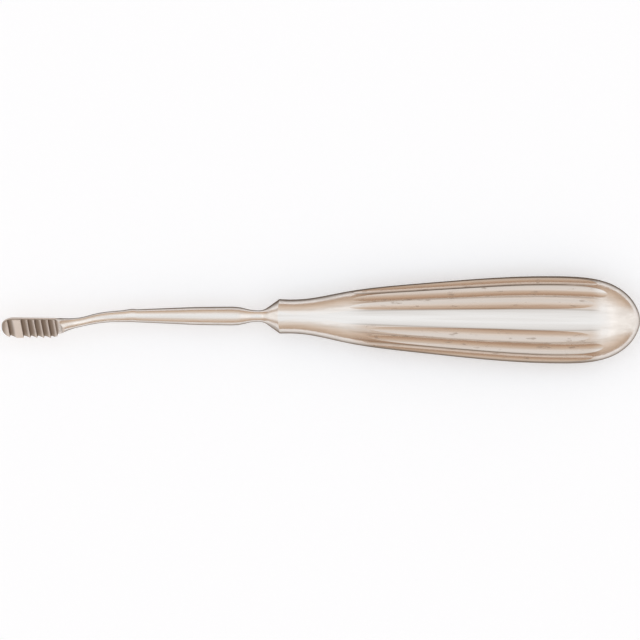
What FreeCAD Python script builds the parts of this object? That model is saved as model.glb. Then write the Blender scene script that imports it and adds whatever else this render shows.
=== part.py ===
import FreeCAD, Part
import math
import os
import Sketcher
from FreeCAD import Placement, Rotation, Vector

# Nasal rasp, one steel forging. In the sketches X runs along the handle's axis, from the nose of
# the head to the butt, Y is the handle's breadth and Z its thickness, so that the broad faces look
# up and down. The shank leaves that axis in an S-bend. The plane of the bend, and the toothed face
# square to it, are rolled about X by head_roll, away from the handle's broad face.

# Lengths in millimetres, angles in degrees. A "run" is the distance from one station to the next.
SIZES = [
    # Head: a round bar milled to half, with a bullet nose
    ("head_radius", 3.3),
    ("head_offset", 6.3),
    ("head_roll", 45),
    ("nose_run", 3.4),
    ("nose_roundness", 0.46),
    ("head_run", 11.2),
    # Teeth: slanted gullets, steep on the side that faces the nose's end of each crest
    ("tooth_count", 8),
    ("tooth_pitch", 1.866),
    ("tooth_depth", 0.82),
    ("tooth_slant", 8.5),
    ("first_crest", 1.85),
    ("steep_run", 0.16),
    ("flank_radius", 3.0),
    ("crest_land", 0.04),
    ("crest_lift", 0.02),
    # Shank's S-bend: run, radius and offset from the handle's axis, behind the head
    ("flare_run", 1.5),
    ("flare_radius", 2.27),
    ("flare_offset", 4.95),
    ("throat_run", 1.9),
    ("throat_radius", 1.71),
    ("throat_offset", 4.2),
    ("neck_run", 3.8),
    ("neck_radius", 1.31),
    ("neck_offset", 3.14),
    ("bend_run", 4.2),
    ("bend_radius", 1.41),
    ("bend_offset", 1.7),
    ("straightening_run", 5.0),
    ("straightening_radius", 1.53),
    ("straightening_offset", 0.86),
    ("easing_run", 3.0),
    ("easing_radius", 1.68),
    ("easing_offset", 0.56),
    ("slim_run", 3.0),
    ("slim_radius", 1.79),
    ("slim_offset", 0.48),
    # Shank behind the bend, turned about an axis that meets the handle's at the waist
    ("cone_run", 14.4),
    ("cone_radius", 2.386),
    ("belly_run", 11.8),
    ("belly_radius", 2.57),
    ("taper_run", 7.2),
    ("waist_radius", 1.55),
    ("spigot_run", 1.0),
    # Shoulder: a fillet out of the waist and a cone up to the handle
    ("shoulder_fillet", 4.2),
    ("shoulder_angle", 36),
    ("shoulder_half_breadth", 4.72),
    ("shoulder_half_thickness", 4.28),
    # Handle: run and half breadth of each station behind the shoulder, then the dome of the butt
    ("collar_run", 6.47),
    ("collar_half_breadth", 4.82),
    ("spread_run", 9.8),
    ("spread_half_breadth", 6.6),
    ("palm_run", 8.0),
    ("palm_half_breadth", 7.98),
    ("grip_run", 16.0),
    ("grip_half_breadth", 9.7),
    ("heel_run", 18.0),
    ("heel_half_breadth", 11.27),
    ("widest_run", 16.2),
    ("widest_half_breadth", 11.95),
    ("widest_half_thickness", 6.2),
    ("dome_run", 24.4),
    ("dome_fullness", 3.3),
    ("dome_roundness", 0.57),
    # Flutes: the ridges between them lie at these angles from the middle of the broad face
    ("first_ridge", 13.9),
    ("second_ridge", 32),
    ("third_ridge", 52),
    ("fourth_ridge", 75),
    ("flute_radius", 3.3),
    # Depth of the cutter's pass below both ridges, at its front, middle and back
    ("upper_front_sink", -0.12),
    ("lower_front_sink", -0.31),
    ("middle_sink", 0.05),
    ("first_back_sink", -0.08),
    ("second_back_sink", 0.07),
    ("third_back_sink", -0.07),
    ("flute_lead", 52),
    ("flute_sweep", 42),
    # Flats ground along the middle of each broad face, on which the rasp lies
    ("flat_depth", 0.2),
    ("flat_front_half_thickness", 4.1),
]

FLUTE_PLACES = ("palm", "heel", "widest")
BEND = ("flare", "throat", "neck", "bend", "straightening", "easing", "slim")
HANDLE = ("collar", "spread", "palm", "grip", "heel", "widest")
DOME_SHARES = (0.36, 0.54, 0.7, 0.83, 0.93, 0.985)
NOSE_SHARES = (0, 0.4, 0.7, 0.9, 0.98)
RIDGES = ("first_ridge", "second_ridge", "third_ridge", "fourth_ridge")

# Ends of a sketch's lines that lie this near to each other are one corner
TOUCHING = 1e-6

doc = FreeCAD.newDocument("NasalRasp")
sheet = doc.addObject("Spreadsheet::Sheet", "Sizes")
for row, (alias, amount) in enumerate(SIZES, start=1):
    sheet.set(f"A{row}", alias)
    sheet.set(f"B{row}", str(amount))
    sheet.setAlias(f"B{row}", alias)
doc.recompute()

body = doc.addObject("PartDesign::Body", "nasal_rasp")
body.Label = "nasal_rasp"


def size(alias):
    """The expression that reads one size from the sheet."""
    return f"Sizes.{alias}"


def total(start, aliases):
    """The expression of a station, from an earlier one and the runs between them."""
    return "(" + " + ".join([start] + [size(alias) for alias in aliases]) + ")"


# Stations along X
HEAD_START = size("nose_run")
HEAD_END = total(HEAD_START, ["head_run"])
SLIM = total(HEAD_END, [f"{place}_run" for place in BEND])
WAIST = total(SLIM, ["cone_run", "belly_run", "taper_run"])
CONE_START = f"({WAIST} + {size('shoulder_fillet')} * sin({size('shoulder_angle')}))"
CONE_START_RADIUS = (
    f"({size('waist_radius')} + {size('shoulder_fillet')} * (1 - cos({size('shoulder_angle')})))"
)
SHOULDER = (
    f"({CONE_START} + ({size('shoulder_half_breadth')} - {CONE_START_RADIUS})"
    f" / tan({size('shoulder_angle')}))"
)
WIDEST = total(SHOULDER, [f"{place}_run" for place in HANDLE])
BUTT = total(WIDEST, ["dome_run"])


def value(expression, holder=body):
    """What an expression comes to with the sizes as they stand."""
    return float(holder.evalExpression(expression))


def point(across, along, holder=body):
    """A point of a sketch, from two expressions."""
    return Vector(value(across, holder), value(along, holder), 0)


def origin(role):
    """One of the body's own origin planes or axes."""
    return next(item for item in body.Origin.OriginFeatures if item.Role == role)


def sketch_on(name, plane, axis, station, roll):
    """An empty sketch on an origin plane, moved along the plane's normal and turned about an axis."""
    sketch = body.newObject("Sketcher::SketchObject", name)
    sketch.AttachmentSupport = [(origin(plane), "")]
    sketch.MapMode = "FlatFace"
    sketch.AttachmentOffset = Placement(Vector(0, 0, 0), Rotation(axis, 1))
    sketch.setExpression("AttachmentOffset.Base.z", station)
    sketch.setExpression("AttachmentOffset.Rotation.Angle", roll)
    return sketch


def cross_section(name, station, roll="0"):
    """An empty sketch square to X: its own X is the breadth, its own Y the thickness."""
    return sketch_on(name, "YZ_Plane", Vector(0, 0, 1), station, roll)


def side_view(name, roll="0"):
    """An empty sketch through the handle's axis: its own X runs along the rasp."""
    return sketch_on(name, "XZ_Plane", Vector(1, 0, 0), "0", roll)


def place_by_vectors(sketch, **vectors):
    """Place a sketch by vector expressions: its Centre, AxisX, AxisY and AxisZ, and what leads to them."""
    sketch.AttachmentSupport = [(origin("XY_Plane"), "")]
    sketch.MapMode = "FlatFace"
    for name, expression in vectors.items():
        sketch.addProperty("App::PropertyVector", name, "Placing")
        sketch.setExpression(name, expression)
    rows = "; ".join(f"AxisX.{axis}; AxisY.{axis}; AxisZ.{axis}; Centre.{axis}" for axis in "xyz")
    sketch.setExpression("AttachmentOffset", f"placement(matrix({rows}; 0; 0; 0; 1))")
    doc.recompute()


def bind(sketch, kind, expression, *places):
    """Add a constraint whose size follows an expression."""
    amount = value(expression, sketch)
    constraint = sketch.addConstraint(Sketcher.Constraint(kind, *places, amount))
    sketch.setExpression(f"Constraints[{constraint}]", expression)


def hold_point(sketch, geometry, end, across, along):
    """Fix a point of a sketch at two expressions, measured from the sketch's origin."""
    bind(sketch, "DistanceX", across, -1, 1, geometry, end)
    bind(sketch, "DistanceY", along, -1, 1, geometry, end)


def add_outline(sketch, corners, arcs=None):
    """A closed outline through corners, each a pair of expressions. arcs holds the radius of each
    round side by the number of the corner that it starts from, with 1 or -1 for the way it bulges:
    1 is to the left of the way from that corner to the next."""
    arcs = arcs or {}
    places = [point(*corner) for corner in corners]
    count = len(corners)
    for index, start in enumerate(places):
        end = places[(index + 1) % count]
        if index in arcs:
            radius, bulge = arcs[index]
            chord = end - start
            left = Vector(-chord.y, chord.x, 0).normalize()
            rise = value(radius) - math.sqrt(value(radius) ** 2 - chord.Length ** 2 / 4)
            sketch.addGeometry(Part.Arc(start, start + chord / 2 + left * rise * bulge, end))
            bind(sketch, "Radius", radius, index)
        else:
            sketch.addGeometry(Part.LineSegment(start, end))

    def end_at(side, place):
        return 1 if sketch.getPoint(side, 1).isEqual(place, TOUCHING) else 2

    for index, place in enumerate(places):
        before = (index - 1) % count
        here = (index, end_at(index, place))
        sketch.addConstraint(Sketcher.Constraint("Coincident", before, end_at(before, place), *here))
        hold_point(sketch, *here, *corners[index])


def circle(name, station, radius, across, along, roll="0"):
    """A circular section."""
    sketch = cross_section(name, station, roll)
    sketch.addGeometry(Part.Circle(point(across, along), Vector(0, 0, 1), value(radius)))
    hold_point(sketch, 0, 3, across, along)
    bind(sketch, "Radius", radius, 0)
    return sketch


def ellipse(name, station, half_breadth, half_thickness):
    """An elliptical section of the handle, broad along Y."""
    sketch = cross_section(name, station)
    side = point(half_breadth, "0")
    top = point("0", half_thickness)
    sketch.addGeometry(Part.Ellipse(side, top, Vector(0, 0, 0)))
    sketch.exposeInternalGeometry(0)
    sketch.addConstraint(Sketcher.Constraint("Coincident", 0, 3, -1, 1))
    sketch.addConstraint(Sketcher.Constraint("PointOnObject", 1, 1, -1))
    bind(sketch, "Distance", f"2 * {half_breadth}", 1)
    bind(sketch, "Distance", f"2 * {half_thickness}", 2)
    return sketch


def end_point(name, station, along, roll="0"):
    """The point where a loft closes."""
    sketch = cross_section(name, station, roll)
    sketch.addGeometry(Part.Point(point("0", along)))
    hold_point(sketch, 0, 1, "0", along)
    return sketch


def loft(name, sections):
    """A smooth loft through sections, added to the body."""
    doc.recompute()
    feature = body.newObject("PartDesign::AdditiveLoft", name)
    feature.Profile = sections[0]
    feature.Sections = sections[1:]
    doc.recompute()


def across_the_head(name, sketch):
    """A pocket through the whole breadth of the head, both ways from a side view."""
    doc.recompute()
    pocket = body.newObject("PartDesign::Pocket", name)
    pocket.Profile = sketch
    pocket.SideType = "Symmetric"
    pocket.setExpression("Length", f"4 * {size('head_radius')}")
    return pocket


# Handle

def thickness_at(half_breadth):
    """The handle thickens in step with its breadth, from the shoulder to the widest place."""
    return (
        f"({size('shoulder_half_thickness')}"
        f" + ({size('widest_half_thickness')} - {size('shoulder_half_thickness')})"
        f" * ({half_breadth} - {size('shoulder_half_breadth')})"
        f" / ({size('widest_half_breadth')} - {size('shoulder_half_breadth')}))"
    )


def handle_stations():
    """Station, half breadth and half thickness of the handle behind the shoulder."""
    stations = []
    for index, place in enumerate(HANDLE):
        half_breadth = size(f"{place}_half_breadth")
        station = total(SHOULDER, [f"{passed}_run" for passed in HANDLE[:index + 1]])
        stations.append((station, half_breadth, thickness_at(half_breadth)))
    return stations


def dome_station(share):
    """Station, half breadth and half thickness at a share of the way from the widest place."""
    shrink = f"((1 - {share} ^ {size('dome_fullness')}) ^ {size('dome_roundness')})"
    return (
        f"({WIDEST} + {share} * {size('dome_run')})",
        f"({size('widest_half_breadth')} * {shrink})",
        f"({size('widest_half_thickness')} * {shrink})",
    )


def make_handle():
    """The handle's blank, a flattened pear with a domed butt, which starts inside the shank."""
    front = (size("shoulder_half_breadth"), size("shoulder_half_thickness"))
    start = f"({WAIST} - {size('spigot_run')})"
    places = [(start, *front), (SHOULDER, *front)] + handle_stations()
    places += [dome_station(share) for share in DOME_SHARES]
    sections = [ellipse(f"Handle{index}", *place) for index, place in enumerate(places)]
    sections.append(end_point("Butt", BUTT, "0"))
    loft("HandleBlank", sections)


# Shoulder and shank

# The bend's offset direction, and the axis that the shank and shoulder are turned about
OFFSET_WAY = f"vector(0; -sin({size('head_roll')}); cos({size('head_roll')}))"
SIDE_WAY = f"vector(0; cos({size('head_roll')}); sin({size('head_roll')}))"
SLIM_CENTRE = f"(vector({SLIM}; 0; 0) + {size('slim_offset')} * {OFFSET_WAY})"
TURNING_AXIS = f"vnormalize(vector({WAIST}; 0; 0) - {SLIM_CENTRE})"


def turning_sketch(name):
    """An empty sketch whose own X is the turning axis, from the waist to the butt."""
    sketch = body.newObject("Sketcher::SketchObject", name)
    place_by_vectors(
        sketch, Centre=f"vector({WAIST}; 0; 0)", AxisX=TURNING_AXIS, AxisZ=f"-1 * {SIDE_WAY}",
        AxisY="vcross(AxisZ; AxisX)"
    )
    return sketch


def turn_shoulder():
    """The blank's front end turned down to a fillet and a cone. The sketch is what is cut away."""
    fillet = size("shoulder_fillet")
    cone_start = f"({fillet} * sin({size('shoulder_angle')}))"
    cone_radius = f"({size('waist_radius')} + {fillet} * (1 - cos({size('shoulder_angle')})))"
    clear_radius = f"({size('shoulder_half_breadth')} + {fillet})"
    clear_end = f"({cone_start} + ({clear_radius} - {cone_radius}) / tan({size('shoulder_angle')}))"
    sketch = turning_sketch("ShoulderProfile")
    corners = [
        ("0", size("waist_radius")),
        (cone_start, cone_radius),
        (clear_end, clear_radius),
        (f"(-{fillet})", clear_radius),
        (f"(-{fillet})", size("waist_radius")),
    ]
    add_outline(sketch, corners, {0: (fillet, -1)})
    doc.recompute()
    groove = body.newObject("PartDesign::Groove", "TurnedShoulder")
    groove.Profile = sketch
    groove.ReferenceAxis = (sketch, ["H_Axis"])
    groove.Angle = 360
    doc.recompute()


def turn_shank():
    """The straight of the shank: a slow cone, a belly whose arc peaks where the hollow begins,
    and a hollow of two equal arcs down to the waist."""
    belly = f"(-{size('taper_run')})"
    cone_end = f"({belly} - {size('belly_run')})"
    start = f"(-sqrt(({WAIST} - {SLIM}) ^ 2 + {size('slim_offset')} ^ 2))"
    rise = f"({size('belly_radius')} - {size('cone_radius')})"
    drop = f"({size('belly_radius')} - {size('waist_radius')})"
    belly_arc = f"(({size('belly_run')} ^ 2 + {rise} ^ 2) / (2 * {rise}))"
    hollow_arc = f"(({size('taper_run')} ^ 2 + {drop} ^ 2) / (4 * {drop}))"
    sketch = turning_sketch("ShankProfile")
    corners = [
        (start, "0"),
        (start, size("slim_radius")),
        (cone_end, size("cone_radius")),
        (belly, size("belly_radius")),
        (f"({belly} / 2)", f"({size('waist_radius')} + {drop} / 2)"),
        ("0", size("waist_radius")),
        ("0", "0"),
    ]
    add_outline(sketch, corners, {2: (belly_arc, 1), 3: (hollow_arc, 1), 4: (hollow_arc, -1)})
    doc.recompute()
    shank = body.newObject("PartDesign::Revolution", "TurnedShank")
    shank.Profile = sketch
    shank.ReferenceAxis = (sketch, ["H_Axis"])
    shank.Angle = 360
    doc.recompute()


def bend_shank():
    """Round sections from the back of the head, round the S-bend, to the turned part."""
    roll = size("head_roll")
    sections = [
        circle("HeadBack", HEAD_END, size("head_radius"), "0", size("head_offset"), roll)
    ]
    for index, place in enumerate(BEND[:-1]):
        station = total(HEAD_END, [f"{passed}_run" for passed in BEND[:index + 1]])
        sections.append(
            circle(f"Bend_{place}", station, size(f"{place}_radius"), "0",
                   size(f"{place}_offset"), roll)
        )
    last = body.newObject("Sketcher::SketchObject", "Bend_slim")
    place_by_vectors(
        last, Centre=SLIM_CENTRE, AxisZ=TURNING_AXIS, AxisX=SIDE_WAY, AxisY="vcross(AxisZ; AxisX)"
    )
    last.addGeometry(Part.Circle(Vector(0, 0, 0), Vector(0, 0, 1), value(size("slim_radius"))))
    last.addConstraint(Sketcher.Constraint("Coincident", 0, 3, -1, 1))
    bind(last, "Radius", size("slim_radius"), 0)
    loft("BentShank", sections + [last])


# Head

def make_head():
    """A round bar on the shank's end, milled down to its middle with the flare behind it."""
    ring = circle("HeadRing", HEAD_START, size("head_radius"), "0", size("head_offset"),
                  size("head_roll"))
    doc.recompute()
    bar = body.newObject("PartDesign::Pad", "HeadBar")
    bar.Profile = ring
    bar.setExpression("Length", size("head_run"))
    mill_end = total(HEAD_END, ["flare_run", "throat_run"])
    above = f"({size('head_offset')} + 2 * {size('head_radius')})"
    corners = [("0", size("head_offset")), (mill_end, size("head_offset")), (mill_end, above),
               ("0", above)]
    sketch = side_view("FaceProfile", size("head_roll"))
    add_outline(sketch, corners)
    across_the_head("MilledFace", sketch)
    doc.recompute()


def make_nose():
    """Half-round sections that shrink about the half bar's centroid to a rounded point."""
    roll = size("head_roll")
    depth = f"(4 * {size('head_radius')} / (3 * pi))"
    sections = []
    for share in NOSE_SHARES:
        shrink = f"((1 - {share} ^ 2) ^ {size('nose_roundness')})"
        radius = f"({size('head_radius')} * {shrink})"
        middle = f"({size('head_offset')} - {depth} * (1 - {shrink}))"
        sketch = cross_section(f"Nose_{round(share * 100)}", f"({HEAD_START} * (1 - {share}))", roll)
        back = Part.Circle(point("0", middle), Vector(0, 0, 1), value(radius))
        sketch.addGeometry(Part.ArcOfCircle(back, math.pi, 2 * math.pi))
        sketch.addGeometry(Part.LineSegment(point(radius, middle), point(f"-{radius}", middle)))
        sketch.addConstraint(Sketcher.Constraint("Coincident", 0, 2, 1, 1))
        sketch.addConstraint(Sketcher.Constraint("Coincident", 1, 2, 0, 1))
        hold_point(sketch, 0, 3, "0", middle)
        hold_point(sketch, 0, 1, f"-{radius}", middle)
        sketch.addConstraint(Sketcher.Constraint("Horizontal", 1))
        sections.append(sketch)
    sections.append(end_point("NoseTip", "0", f"({size('head_offset')} - {depth})", roll))
    loft("Nose", sections)


def cut_teeth():
    """One slanted gullet, with a steep wall under its crest and a hollow flank up to the next
    crest, repeated along the head. The last one runs out into the flare."""
    root = (
        f"({size('first_crest')} + {size('steep_run')})",
        f"({size('head_offset')} - {size('tooth_depth')})",
    )
    next_crest = (
        f"({size('first_crest')} + {size('tooth_pitch')} - {size('crest_land')})",
        f"({size('head_offset')} + {size('crest_lift')})",
    )
    above = f"({size('head_offset')} + {size('tooth_depth')})"
    corners = [
        root,
        next_crest,
        (next_crest[0], above),
        (f"({size('first_crest')} - {size('steep_run')})", above),
    ]
    sketch = side_view("GulletProfile", size("head_roll"))
    add_outline(sketch, corners, {0: (size("flank_radius"), -1)})
    gullet = across_the_head("Gullet", sketch)
    gullet.UseCustomVector = True
    slant = size("tooth_slant")
    gullet.setExpression("Direction.x", f"sin({slant})")
    gullet.setExpression("Direction.y", f"-cos({slant}) * cos({size('head_roll')})")
    gullet.setExpression("Direction.z", f"-cos({slant}) * sin({size('head_roll')})")
    doc.recompute()
    teeth = body.newObject("PartDesign::LinearPattern", "Teeth")
    teeth.Originals = [gullet]
    teeth.Direction = (origin("X_Axis"), [""])
    teeth.setExpression("Occurrences", size("tooth_count"))
    teeth.setExpression("Length", f"{size('tooth_pitch')} * ({size('tooth_count')} - 1)")
    body.Tip = teeth
    doc.recompute()


# Flutes

def flute_centre(inner, outer, side, place, sink):
    """Where the cutter's centre lies at a place: it passes that far under both ridges."""
    station, half_breadth, half_thickness = place
    inner_y = f"({half_breadth} * sin({size(inner)}))"
    inner_z = f"({half_thickness} * cos({size(inner)}))"
    outer_y = f"({half_breadth} * sin({size(outer)}))"
    outer_z = f"({half_thickness} * cos({size(outer)}))"
    run = f"({outer_y} - {inner_y})"
    fall = f"({inner_z} - {outer_z})"
    width = f"sqrt({run} ^ 2 + {fall} ^ 2)"
    reach = f"(sqrt({size('flute_radius')} ^ 2 - {width} ^ 2 / 4) - {size(sink)})"
    across = f"({side} * (({inner_y} + {outer_y}) / 2 + {fall} / {width} * {reach}))"
    along = f"(({inner_z} + {outer_z}) / 2 + {run} / {width} * {reach})"
    return f"vector({station}; {across}; {along})"


def swing_radius(sketch=""):
    """The radius of the cutter's arc, from the placing vectors of its sketch."""
    swing = f"{sketch}Swing"
    return f"(-vdot({swing}; {swing}) / (2 * vdot({swing}; {sketch}AxisY)))"


def make_flute(name, ridges, side, sinks):
    """A flute between two ridges. The cutter comes in straight from the front, through the palm
    to the heel, and from there swings along an arc that passes the widest place."""
    stations = handle_stations()
    places = [stations[HANDLE.index(place)] for place in FLUTE_PLACES]
    front, middle, back = [
        flute_centre(*ridges, side, place, sink) for place, sink in zip(places, sinks)
    ]
    sketch = body.newObject("Sketcher::SketchObject", f"{name}Section")
    place_by_vectors(
        sketch, Front=front, Middle=middle, Back=back, Swing="Back - Middle",
        AxisZ="vnormalize(Middle - Front)", AxisX="vnormalize(vcross(AxisZ; Swing))",
        AxisY="vcross(AxisZ; AxisX)", Centre=f"Middle - {swing_radius()} * AxisY"
    )
    sketch.addGeometry(Part.Circle(
        point("0", swing_radius(), sketch), Vector(0, 0, 1), value(size("flute_radius"))
    ))
    hold_point(sketch, 0, 3, "0", swing_radius())
    bind(sketch, "Radius", size("flute_radius"), 0)
    doc.recompute()
    straight = body.newObject("PartDesign::Pocket", f"{name}Front")
    straight.Profile = sketch
    straight.setExpression("Length", size("flute_lead"))
    doc.recompute()
    swing = body.newObject("PartDesign::Groove", f"{name}Back")
    swing.Profile = sketch
    swing.ReferenceAxis = (sketch, ["H_Axis"])
    swing.setExpression(
        "Angle", f"{size('flute_sweep')} * 180 / (pi * {swing_radius(sketch.Name + '.')})"
    )
    doc.recompute()
    return [straight, swing]


def cut_flutes():
    """Three flutes on each side of the upper broad face."""
    flutes = []
    for half, side in (("upper", 1), ("lower", -1)):
        for ridges in zip(RIDGES[:-1], RIDGES[1:]):
            number = ridges[0].partition("_")[0]
            sinks = [f"{half}_front_sink", "middle_sink", f"{number}_back_sink"]
            name = f"{half.capitalize()}{number.capitalize()}Flute"
            flutes += make_flute(name, ridges, side, sinks)
    return flutes


def grind_flats():
    """Three flats in a row along the upper broad face: from the shoulder to the palm, from there
    to the heel, and on past the widest place, a little under the blank's surface."""
    stations = dict(zip(HANDLE, handle_stations()))
    palm, heel, widest = [
        (stations[place][0], f"({stations[place][2]} - {size('flat_depth')})")
        for place in ("palm", "heel", "widest")
    ]
    slope = f"(({widest[1]} - {heel[1]}) / ({widest[0]} - {heel[0]}))"
    above = f"(2 * {size('widest_half_thickness')})"
    sketch = side_view("FlatsProfile")
    add_outline(sketch, [
        (SHOULDER, size("flat_front_half_thickness")),
        palm,
        heel,
        (BUTT, f"({heel[1]} + {slope} * ({BUTT} - {heel[0]}))"),
        (BUTT, above),
        (SHOULDER, above),
    ])
    doc.recompute()
    flats = body.newObject("PartDesign::Pocket", "GroundFlats")
    flats.Profile = sketch
    flats.SideType = "Symmetric"
    flats.setExpression("Length", f"4 * {size('widest_half_breadth')}")
    doc.recompute()
    return flats


def copy_underneath(cuts):
    """The cuts of the upper broad face again on the lower one."""
    underside = body.newObject("PartDesign::Mirrored", "Underside")
    underside.Originals = cuts
    underside.MirrorPlane = (origin("XY_Plane"), [""])
    body.Tip = underside
    doc.recompute()


make_handle()
turn_shoulder()
turn_shank()
bend_shank()
make_head()
make_nose()
cut_teeth()
copy_underneath(cut_flutes() + [grind_flats()])

# The part's own origin is under the middle of its length, on the surface that the handle lies on
body.setExpression("Placement.Base.x", f"-{BUTT} / 2")
body.setExpression(
    "Placement.Base.z", f"{size('widest_half_thickness')} - {size('flat_depth')} / 2"
)
doc.recompute()

failed = [item.Name for item in doc.Objects if {"Invalid", "Error"} & set(item.State)]
if failed:
    raise RuntimeError(f"failed: {', '.join(failed)}")
cuts = [item for item in doc.Objects if item.isDerivedFrom("PartDesign::Feature")]
for before, after in zip(cuts[:-1], cuts[1:]):
    if math.isclose(before.Shape.Volume, after.Shape.Volume, rel_tol=1e-6):
        raise RuntimeError(f"{after.Name} changes nothing")
shape = body.Shape
if shape.isNull() or not shape.isValid() or len(shape.Solids) != 1:
    raise RuntimeError("nasal_rasp is not one valid solid")

os.makedirs("parts", exist_ok=True)
shape.exportStep(f"parts/{body.Label}.step")
box = shape.optimalBoundingBox()
print(f"{body.Label}: {box.XLength:.2f} x {box.YLength:.2f} x {box.ZLength:.2f} mm,",
      f"{shape.Volume / 1000:.2f} cm3, {len(shape.Faces)} faces, lowest point {box.ZMin:.3f}")
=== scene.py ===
import bpy
from bpy.props import FloatProperty, FloatVectorProperty, PointerProperty
from bpy.types import Operator, Panel, PropertyGroup
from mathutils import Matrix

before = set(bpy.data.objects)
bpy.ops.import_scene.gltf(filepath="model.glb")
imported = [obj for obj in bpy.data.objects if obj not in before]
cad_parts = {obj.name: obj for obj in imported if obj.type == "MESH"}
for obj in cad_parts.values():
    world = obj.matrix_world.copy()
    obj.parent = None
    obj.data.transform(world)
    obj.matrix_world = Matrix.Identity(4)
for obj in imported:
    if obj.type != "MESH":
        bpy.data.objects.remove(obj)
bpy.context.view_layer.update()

bl_info = {
    "name": "Nasal rasp",
    "version": (1, 0, 0),
    "blender": (4, 5, 0),
    "location": "3D View > Sidebar > Nasal rasp",
    "description": "Finishes a forged steel nasal rasp and builds its studio",
    "category": "Object",
}

MM = 0.001

# Places on the rasp, in millimetres of its own frame: X runs from the nose to the butt, Z is up
AXIS_HEIGHT = 6.1
HEAD_END = -72.9
FACE_OFFSET = 6.3
# Each of these starts, is full, starts to fade and ends at its four places along X
FLUTED = (6.0, 15.0, 73.5, 77.5)
POLISH_MARKS = ((-9.5, -7.0, -3.5, -1.0), (20.0, 24.0, 28.0, 31.0))
# The head's finish fades out behind it between these two places along X
HEAD_FADE = (HEAD_END - 0.2, HEAD_END + 1.6)
# The sine of the head's roll of 45 degrees, and its cosine
ROLL_SHARE = 0.7071
# Depths below the toothed face where the painted shade in the gullets starts, is full, starts to fade
# and ends
GULLET_SHADE_DEPTHS = (0.02, 0.6, 0.85, 1.1)
# Distances from a ridge where its painted shade line starts to fade and ends
RIDGE_SHADE_LINE = (0.05, 0.34)
# Half breadth of the handle along X
HANDLE_OUTLINE = (
    (-12.0, 4.72), (-4.9, 4.82), (4.9, 6.6), (12.9, 7.98), (28.9, 9.7), (46.9, 11.27),
    (63.1, 11.95), (71.9, 11.71), (76.3, 11.03), (80.2, 9.69), (83.4, 7.67), (85.8, 4.95),
    (87.5, 0.5),
)
# Shares of the half breadth, from the middle line out: the ridges beside the flutes, the four
# places of the flutes' painted shade, where the painted shade that darkens the steel away from the
# middle line starts and is full, and where the polish marks start to fade and end
RIDGES = (0.24, 0.53, 0.788, 0.966)
SHADED_FLUTES = (RIDGES[0], 0.34, 0.9, RIDGES[-1])
OFF_MIDDLE_SHADE = (0.02, 0.26)
POLISHED_BAND = (0.2, 0.45)
# Painted shade on a flute's inner wall reaches this far from one ridge to the next. As shares of the
# half breadth, it starts within the first run, and fades from the second before its end to the third
# past it
WALL_SHADE_END = 0.55
WALL_SHADE_RUNS = (0.02, 0.05, 0.04)
# The normal's upright part up to which the painted shade on the steep sides is full, and where it ends
SIDE_SHADE_STEEPNESS = (0.2, 0.72)
# The normal's part towards +Y where the painted shade on the far side starts, and from which it is full
FAR_SHADE = (0.0, 0.6)

# The grain and the wider streaks: their lengths along X in millimetres, and how much wider
GRAIN_LENGTH = 28.0
STREAK_LENGTH = 60.0
STREAK_WIDENING = 2.4
# Cells of the other noises, in millimetres along X, Y and Z
POLISH_CELLS = (0.7, 9.0, 9.0)
SPECKLE_CELLS = (0.18, 0.18, 0.18)
STAIN_CELLS = (3.4, 0.9, 0.9)
CARD_CELLS = (0.5, 0.5, 0.5)
# Values of a noise between which its effect goes from none to full
NOISE_SPREAD = (0.3, 0.7)
STAINED = (0.58, 0.72)
STREAKED = (0.35, 0.75)

# Strength of the ridge shade's colour in the streaks, under the painted shades and stains
STREAK_TONE = 0.16
# Painted shades and real stains laid over the steel, and painted shades over the head, in this order:
# place, strength and colour
SHADES_AND_STAINS = (
    ("off_middle_shade", 0.22, "ridge_shade"),
    ("flute_shade", 0.34, "flute_shade"),
    ("inner_wall_shade", 0.3, "flute_shade"),
    ("ridge_shade", 0.45, "ridge_shade"),
    ("stain", 0.4, "stain"),
    ("side_shade", 0.75, "edge"),
    ("far_side_shade", 0.8, "far_edge_shade"),
)
# Painted shade on the head: in the gullets and on its steep sides
HEAD_SHADES = (("gullet_shade", 0.85, "gullet_shade"), ("side_shade", 0.35, "gullet_shade"))
# What each place adds to the roughness, and the least and the most that the streaks add
ROUGHER = (("stain", 0.25), ("side_shade", 0.15), ("head", 0.28))
STREAK_ROUGHNESS = (-0.03, 0.05)
# Height of the head's speckle, where the grain's is 1
SPECKLE_HEIGHT = 1.6
GRAZING_TINT = (0.45, 0.38, 0.33, 1.0)

CARD_ROUGHNESS = (0.85, 0.95)
CARD_SHEEN = 0.1
# Heights in the sky, as the sine of the angle above the horizon
HORIZON, HALF_WAY, HIGH, OVERHEAD = 0.05, 0.42, 0.72, 0.93
# Parts of the direction along X where the strips of light start and are full, and along Y where
# they start to fade and end
STRIP_EDGES = (0.3, 0.5)
# In metres: depth of the card's tooth, size of the ground and how far the lamp stands towards +Y
CARD_DEPTH = 0.00001
GROUND_SIZE = 3
LAMP_SHIFT = 0.05
# Breadth of the photograph on the ground and place of the camera in metres, and roll in radians
PICTURE_BREADTH = 0.1754
CAMERA_PLACE = (-0.000247, -0.000858, 0.6)
PICTURE_ROLL = 0.0125


def colour_property(name, description, default):
    """A colour that the sidebar shows as a swatch."""
    return FloatVectorProperty(name=name, description=description, default=default,
                               subtype="COLOR", size=3, min=0, max=1)


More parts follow.
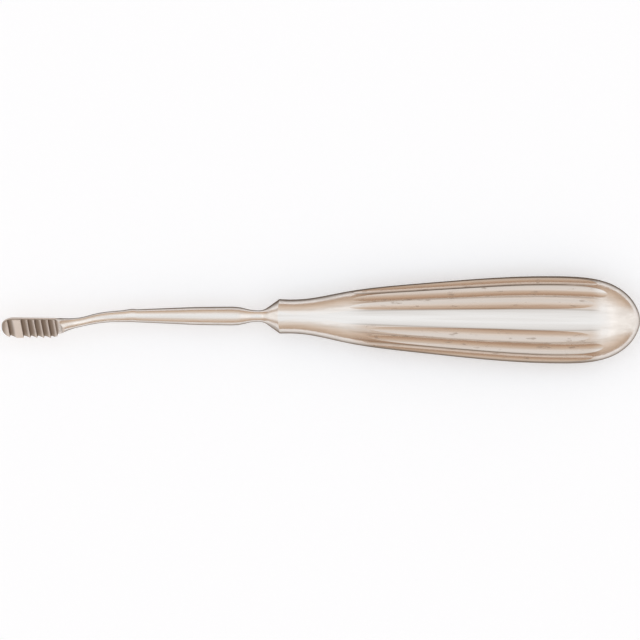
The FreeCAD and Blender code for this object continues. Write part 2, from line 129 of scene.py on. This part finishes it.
class SteelSettings(PropertyGroup):
    """Colours of the steel and of its painted shade, its roughness and grain"""

    steel: colour_property("Steel", "Colour of the satin steel", (0.87, 0.82, 0.775))
    # Painted shade: colour that darkens the steep sides
    edge: colour_property("Edges", "Colour of the steep sides", (0.20, 0.155, 0.12))
    # Painted shade: colour that darkens the steep far side more
    far_edge_shade: colour_property("Far edges", "Colour of the steep far side", (0.10, 0.075, 0.06))
    # Painted shade along the ridges and away from the middle line; the real streaks take this colour
    # too
    ridge_shade: colour_property("Ridges", "Colour of the lines along the ridges", (0.34, 0.26, 0.20))
    head: colour_property("Head", "Colour of the blasted head", (0.90, 0.84, 0.79))
    # Painted shade between the teeth and on the head's steep sides
    gullet_shade: colour_property("Gullets", "Colour between the teeth", (0.34, 0.27, 0.215))
    # Painted shade across the flutes and on their inner walls
    flute_shade: colour_property("Flutes", "Colour of the flutes", (0.66, 0.49, 0.365))
    stain: colour_property("Stains", "Colour of the stains in the flutes", (0.16, 0.11, 0.075))
    roughness: FloatProperty(name="Roughness", description="Roughness of the satin steel",
                             default=0.2, min=0, max=1)
    grain_depth: FloatProperty(name="Grain depth", description="Depth of the lengthwise grain",
                               default=0.000012, min=0, precision=6, unit="LENGTH")
    grain_width: FloatProperty(name="Grain width", description="Width of one streak of the grain",
                               default=0.0006, min=0.00001, precision=5, unit="LENGTH")


class StudioSettings(PropertyGroup):
    """Colours and strengths of the ground and the light"""

    ground: colour_property("Ground", "Colour of the ground", (0.85, 0.88, 0.92))
    ground_glow: FloatProperty(name="Ground glow", description="Light that the ground adds of its own",
                               default=0.235, min=0)
    overhead: colour_property("Overhead", "Colour of the light from above", (0.76, 0.79, 0.82))
    upper: colour_property("Upper", "Colour of the light from high up", (0.84, 0.76, 0.69))
    middle: colour_property("Middle", "Colour of the light from half way up", (0.68, 0.54, 0.43))
    horizon: colour_property("Horizon", "Colour of the light from the sides", (0.46, 0.34, 0.255))
    strip: colour_property("Strips", "Colour of the tall lights past both ends", (1.0, 0.99, 0.98))
    sky_strength: FloatProperty(name="Sky strength", description="Strength of the light all round",
                                default=1.0, min=0)
    lamp_colour: colour_property("Lamp colour", "Colour of the overhead lamp", (0.88, 0.94, 1.0))
    lamp_power: FloatProperty(name="Lamp power", description="Power of the overhead lamp",
                              default=2.0, min=0, unit="POWER")
    lamp_width: FloatProperty(name="Lamp width", description="Width of the overhead lamp",
                              default=1.6, min=0.01, unit="LENGTH")
    lamp_height: FloatProperty(name="Lamp height", description="Height of the overhead lamp",
                               default=1.2, min=0.1, unit="LENGTH")


class Graph:
    """A node tree with short ways to add nodes and join them."""

    def __init__(self, tree):
        self.tree = tree

    def node(self, kind, inputs=None, **settings):
        """A new node with these settings, its inputs fed with sockets or values."""
        node = self.tree.nodes.new(kind)
        for name, setting in settings.items():
            setattr(node, name, setting)
        for name, source in (inputs or {}).items():
            self.feed(node.inputs[name], source)
        return node

    def feed(self, socket, source):
        """Join an input to another socket, or set it to a value."""
        if isinstance(source, bpy.types.NodeSocket):
            self.tree.links.new(source, socket)
        else:
            socket.default_value = source

    def math(self, operation, *sources):
        """The result of one operation on sockets or values."""
        node = self.node("ShaderNodeMath", operation=operation)
        for socket, source in zip(node.inputs, sources):
            self.feed(socket, source)
        return node.outputs[0]

    def step(self, source, low, high, first=0.0, last=1.0):
        """A smooth change from one value to another while the source runs from low to high."""
        node = self.node("ShaderNodeMapRange", {
            "Value": source, "From Min": low, "From Max": high, "To Min": first, "To Max": last,
        }, interpolation_type="SMOOTHSTEP")
        return node.outputs[0]

    def between(self, source, start, full, fade, end):
        """1 from full to fade and 0 outside start and end."""
        return self.math("MULTIPLY", self.step(source, start, full),
                         self.step(source, fade, end, 1.0, 0.0))

    def lay(self, colour, masks, tones, settings):
        """Lay tones over a colour, each a place, a strength and the name of its own colour."""
        for place, strength, name in tones:
            cover = self.math("MULTIPLY", masks[place], strength)
            colour = self.mix(cover, colour, opaque(getattr(settings, name)))
        return colour

    def mix(self, factor, first, second):
        """A colour between two others."""
        node = self.node("ShaderNodeMix", data_type="RGBA")
        # Other kinds of mix use the same socket names, so the sockets are taken by number
        self.feed(node.inputs[0], factor)
        self.feed(node.inputs[6], first)
        self.feed(node.inputs[7], second)
        return node.outputs[2]

    def noise(self, coordinates, stretch, detail=3.0):
        """Noise whose cells have the given sizes in millimetres along X, Y and Z."""
        scaled = self.node("ShaderNodeVectorMath", operation="MULTIPLY")
        self.feed(scaled.inputs[0], coordinates)
        self.feed(scaled.inputs[1], [1 / (cell * MM) for cell in stretch])
        node = self.node("ShaderNodeTexNoise", {
            "Vector": scaled.outputs[0], "Scale": 1.0, "Detail": detail,
        })
        return node.outputs["Fac"]


def opaque(colour):
    """A colour with full alpha."""
    return (*colour, 1.0)


def place_masks(graph):
    """Where a point lies on the rasp: its coordinates, and masks from 0 to 1 that are worked out
    from them and from its normal."""
    coordinates = graph.node("ShaderNodeTexCoord").outputs["Object"]
    split = graph.node("ShaderNodeSeparateXYZ", {"Vector": coordinates})
    along, across, up = [graph.math("DIVIDE", socket, MM) for socket in split.outputs]
    sideways = graph.math("ABSOLUTE", across)

    first, last = HANDLE_OUTLINE[0][0], HANDLE_OUTLINE[-1][0]
    widest = max(breadth for _, breadth in HANDLE_OUTLINE)
    outline = graph.node("ShaderNodeFloatCurve", {
        "Value": graph.math("DIVIDE", graph.math("SUBTRACT", along, first), last - first),
    })
    curve = outline.mapping.curves[0]
    places = [((x - first) / (last - first), breadth / widest) for x, breadth in HANDLE_OUTLINE]
    curve.points[0].location = places[0]
    curve.points[1].location = places[-1]
    for place in places[1:-1]:
        curve.points.new(*place)
    outline.mapping.update()
    half_breadth = graph.math("MULTIPLY", outline.outputs[0], widest)
    share = graph.math("DIVIDE", sideways, half_breadth)

    fluted = graph.between(along, *FLUTED)
    # Painted shade lines along the ridges
    ridge_shade = 0.0
    for place in RIDGES:
        distance = graph.math("MULTIPLY", half_breadth,
                              graph.math("ABSOLUTE", graph.math("SUBTRACT", share, place)))
        ridge_shade = graph.math("MAXIMUM", ridge_shade, graph.step(distance, *RIDGE_SHADE_LINE, 1.0, 0.0))
    # Painted shade on the inner wall of each flute
    inner_wall_shade = 0.0
    start_run, fade_run, end_run = WALL_SHADE_RUNS
    for near, far in zip(RIDGES[:-1], RIDGES[1:]):
        wall_shade_end = (1 - WALL_SHADE_END) * near + WALL_SHADE_END * far
        wall_shade = graph.between(share, near, near + start_run, wall_shade_end - fade_run, wall_shade_end + end_run)
        inner_wall_shade = graph.math("MAXIMUM", inner_wall_shade, wall_shade)

    normal = graph.node("ShaderNodeNewGeometry").outputs["Normal"]
    facing = graph.node("ShaderNodeSeparateXYZ", {"Vector": normal})
    # Painted shade on the steep sides, where the normal is far from upright
    side_shade = graph.step(graph.math("ABSOLUTE", facing.outputs[2]), *SIDE_SHADE_STEEPNESS, 1.0, 0.0)

    # The gullets' painted shade follows the depth below the toothed face
    # Depth below the toothed face, which is rolled half way between the top and the near side
    rolled = graph.math("SUBTRACT", graph.math("SUBTRACT", up, AXIS_HEIGHT), across)
    depth = graph.math("SUBTRACT", FACE_OFFSET, graph.math("MULTIPLY", rolled, ROLL_SHARE))
    head = graph.step(along, *HEAD_FADE, 1.0, 0.0)

    polished = graph.math("MAXIMUM", *[graph.between(along, *mark) for mark in POLISH_MARKS])
    return {
        "coordinates": coordinates,
        "ridge_shade": graph.math("MULTIPLY", ridge_shade, fluted),
        "inner_wall_shade": graph.math("MULTIPLY", inner_wall_shade, fluted),
        "flute_shade": graph.math("MULTIPLY", fluted, graph.between(share, *SHADED_FLUTES)),
        "off_middle_shade": graph.math("MULTIPLY", fluted, graph.step(share, *OFF_MIDDLE_SHADE)),
        "polished": graph.math("MULTIPLY", polished, graph.step(share, *POLISHED_BAND, 1.0, 0.0)),
        "side_shade": side_shade,
        "far_side_shade": graph.math("MULTIPLY", side_shade, graph.step(facing.outputs[1], *FAR_SHADE)),
        "head": head,
        "gullet_shade": graph.math("MULTIPLY", head, graph.between(depth, *GULLET_SHADE_DEPTHS)),
    }


def steel_material(settings):
    """Satin steel with lengthwise grain, stained flutes, painted shade on its sides, ridges, flutes and
    gullets, and a matte blasted head.
    """
    material = bpy.data.materials.new("Satin steel")
    material.use_nodes = True
    graph = Graph(material.node_tree)
    shader = material.node_tree.nodes["Principled BSDF"]
    masks = place_masks(graph)
    coordinates = masks["coordinates"]

    width = settings.grain_width / MM
    wide = STREAK_WIDENING * width
    grain = graph.noise(coordinates, (GRAIN_LENGTH, width, width))
    streaks = graph.noise(coordinates, (STREAK_LENGTH, wide, wide), detail=2.0)
    polish = graph.noise(coordinates, POLISH_CELLS, detail=2.0)
    speckle = graph.noise(coordinates, SPECKLE_CELLS, detail=2.0)
    cloud = graph.noise(coordinates, STAIN_CELLS, detail=4.0)
    # The stains are real, and lie only where the flutes' painted shade lies
    masks["stain"] = graph.math("MULTIPLY", graph.step(cloud, *STAINED), masks["flute_shade"])

    # The streaks are the steel's real grain, tinted with the ridge shade's colour
    colour = graph.mix(graph.step(streaks, *STREAKED, 0.0, STREAK_TONE), opaque(settings.steel),
                       opaque(settings.ridge_shade))
    colour = graph.lay(colour, masks, SHADES_AND_STAINS, settings)
    head = graph.lay(opaque(settings.head), masks, HEAD_SHADES, settings)
    colour = graph.mix(masks["head"], colour, head)

    roughness = graph.math("ADD", settings.roughness,
                           graph.step(streaks, *NOISE_SPREAD, *STREAK_ROUGHNESS))
    for place, more in ROUGHER:
        roughness = graph.math("ADD", roughness, graph.math("MULTIPLY", masks[place], more))

    speckled = graph.math("MULTIPLY", masks["head"], SPECKLE_HEIGHT)
    height = graph.math("MULTIPLY", grain, graph.math("SUBTRACT", 1.0, masks["head"]))
    height = graph.math("ADD", height, graph.math("MULTIPLY", speckle, speckled))
    height = graph.math("ADD", height, graph.math("MULTIPLY", polish, masks["polished"]))
    bump = graph.node("ShaderNodeBump", {"Height": height, "Distance": settings.grain_depth})

    graph.feed(shader.inputs["Base Color"], colour)
    graph.feed(shader.inputs["Roughness"], roughness)
    graph.feed(shader.inputs["Normal"], bump.outputs["Normal"])
    shader.inputs["Metallic"].default_value = 1.0
    shader.inputs["Specular Tint"].default_value = GRAZING_TINT
    return material


def ground_material(settings):
    """Smooth pale card with a fine tooth. Camera, glossy and transmission rays see it glow a little."""
    material = bpy.data.materials.new("Card")
    material.use_nodes = True
    graph = Graph(material.node_tree)
    shader = material.node_tree.nodes["Principled BSDF"]
    coordinates = graph.node("ShaderNodeTexCoord").outputs["Object"]
    tooth = graph.noise(coordinates, CARD_CELLS)
    bump = graph.node("ShaderNodeBump", {"Height": tooth, "Distance": CARD_DEPTH})
    graph.feed(shader.inputs["Normal"], bump.outputs["Normal"])
    graph.feed(shader.inputs["Roughness"], graph.step(tooth, *NOISE_SPREAD, *CARD_ROUGHNESS))
    shader.inputs["Base Color"].default_value = opaque(settings.ground)
    shader.inputs["Specular IOR Level"].default_value = CARD_SHEEN
    path = graph.node("ShaderNodeLightPath")
    seen = graph.math("ADD", path.outputs["Is Camera Ray"], path.outputs["Is Glossy Ray"])
    seen = graph.math("ADD", seen, path.outputs["Is Transmission Ray"])
    graph.feed(shader.inputs["Emission Strength"],
               graph.math("MULTIPLY", seen, settings.ground_glow))
    return material


def build_world(settings):
    """Soft light all round: pale from above and in a strip past each end of the rasp, warm and
    darker towards the horizon on both sides."""
    world = bpy.data.worlds.new("Studio")
    world.use_nodes = True
    graph = Graph(world.node_tree)
    direction = graph.node("ShaderNodeTexCoord").outputs["Generated"]
    split = graph.node("ShaderNodeSeparateXYZ", {"Vector": direction})
    ramp = graph.node("ShaderNodeValToRGB", {"Fac": split.outputs[2]})
    ramp.color_ramp.interpolation = "B_SPLINE"
    stops = ramp.color_ramp.elements
    stops[0].position = HORIZON
    stops[0].color = opaque(settings.horizon)
    stops[1].position = OVERHEAD
    stops[1].color = opaque(settings.overhead)
    stops.new(HIGH).color = opaque(settings.upper)
    stops.new(HALF_WAY).color = opaque(settings.middle)
    lengthways = graph.math("ABSOLUTE", split.outputs[0])
    sideways = graph.math("ABSOLUTE", split.outputs[1])
    strip = graph.math("MULTIPLY", graph.step(lengthways, *STRIP_EDGES),
                       graph.step(sideways, *STRIP_EDGES, 1.0, 0.0))
    background = world.node_tree.nodes["Background"]
    graph.feed(background.inputs["Color"],
               graph.mix(strip, ramp.outputs["Color"], opaque(settings.strip)))
    background.inputs["Strength"].default_value = settings.sky_strength
    return world


class NASALRASP_OT_finish_steel(Operator):
    """Give the rasp its satin steel"""

    bl_idname = "nasalrasp.finish_steel"
    bl_label = "Finish the steel"

    def execute(self, context):
        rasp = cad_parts["nasal_rasp"]
        rasp.data.materials.clear()
        rasp.data.materials.append(steel_material(context.scene.nasal_rasp_steel))
        return {"FINISHED"}


class NASALRASP_OT_build_studio(Operator):
    """Build the ground, the light and the camera"""

    bl_idname = "nasalrasp.build_studio"
    bl_label = "Build the studio"

    def execute(self, context):
        scene = context.scene
        settings = scene.nasal_rasp_studio
        scene.view_settings.view_transform = "Standard"
        scene.world = build_world(settings)

        bpy.ops.mesh.primitive_plane_add(size=GROUND_SIZE)
        ground = context.object
        ground.name = "Ground"
        ground.data.materials.append(ground_material(settings))

        light = bpy.data.lights.new("Overhead", "AREA")
        light.shape = "SQUARE"
        light.size = settings.lamp_width
        light.energy = settings.lamp_power
        light.color = settings.lamp_colour
        lamp = bpy.data.objects.new("Overhead", light)
        lamp.location = (0, LAMP_SHIFT, settings.lamp_height)
        scene.collection.objects.link(lamp)

        data = bpy.data.cameras.new("Camera")
        data.type = "ORTHO"
        data.ortho_scale = PICTURE_BREADTH
        camera = bpy.data.objects.new("Camera", data)
        camera.location = CAMERA_PLACE
        camera.rotation_euler = (0, 0, PICTURE_ROLL)
        scene.collection.objects.link(camera)
        scene.camera = camera
        return {"FINISHED"}


class NASALRASP_PT_panel(Panel):
    """The settings and steps of the rasp in the sidebar"""

    bl_idname = "NASALRASP_PT_panel"
    bl_label = "Nasal rasp"
    bl_space_type = "VIEW_3D"
    bl_region_type = "UI"
    bl_category = "Nasal rasp"

    def draw(self, context):
        for settings, operator in (
            (context.scene.nasal_rasp_steel, NASALRASP_OT_finish_steel),
            (context.scene.nasal_rasp_studio, NASALRASP_OT_build_studio),
        ):
            box = self.layout.box()
            for name in settings.__annotations__:
                box.prop(settings, name)
            box.operator(operator.bl_idname)


CLASSES = (
    SteelSettings, StudioSettings, NASALRASP_OT_finish_steel, NASALRASP_OT_build_studio,
    NASALRASP_PT_panel,
)


def register():
    for cls in CLASSES:
        bpy.utils.register_class(cls)
    bpy.types.Scene.nasal_rasp_steel = PointerProperty(type=SteelSettings)
    bpy.types.Scene.nasal_rasp_studio = PointerProperty(type=StudioSettings)


def unregister():
    del bpy.types.Scene.nasal_rasp_studio
    del bpy.types.Scene.nasal_rasp_steel
    for cls in reversed(CLASSES):
        bpy.utils.unregister_class(cls)


def main():
    register()
    bpy.ops.nasalrasp.finish_steel()
    bpy.ops.nasalrasp.build_studio()


if __name__ == "__main__":
    main()
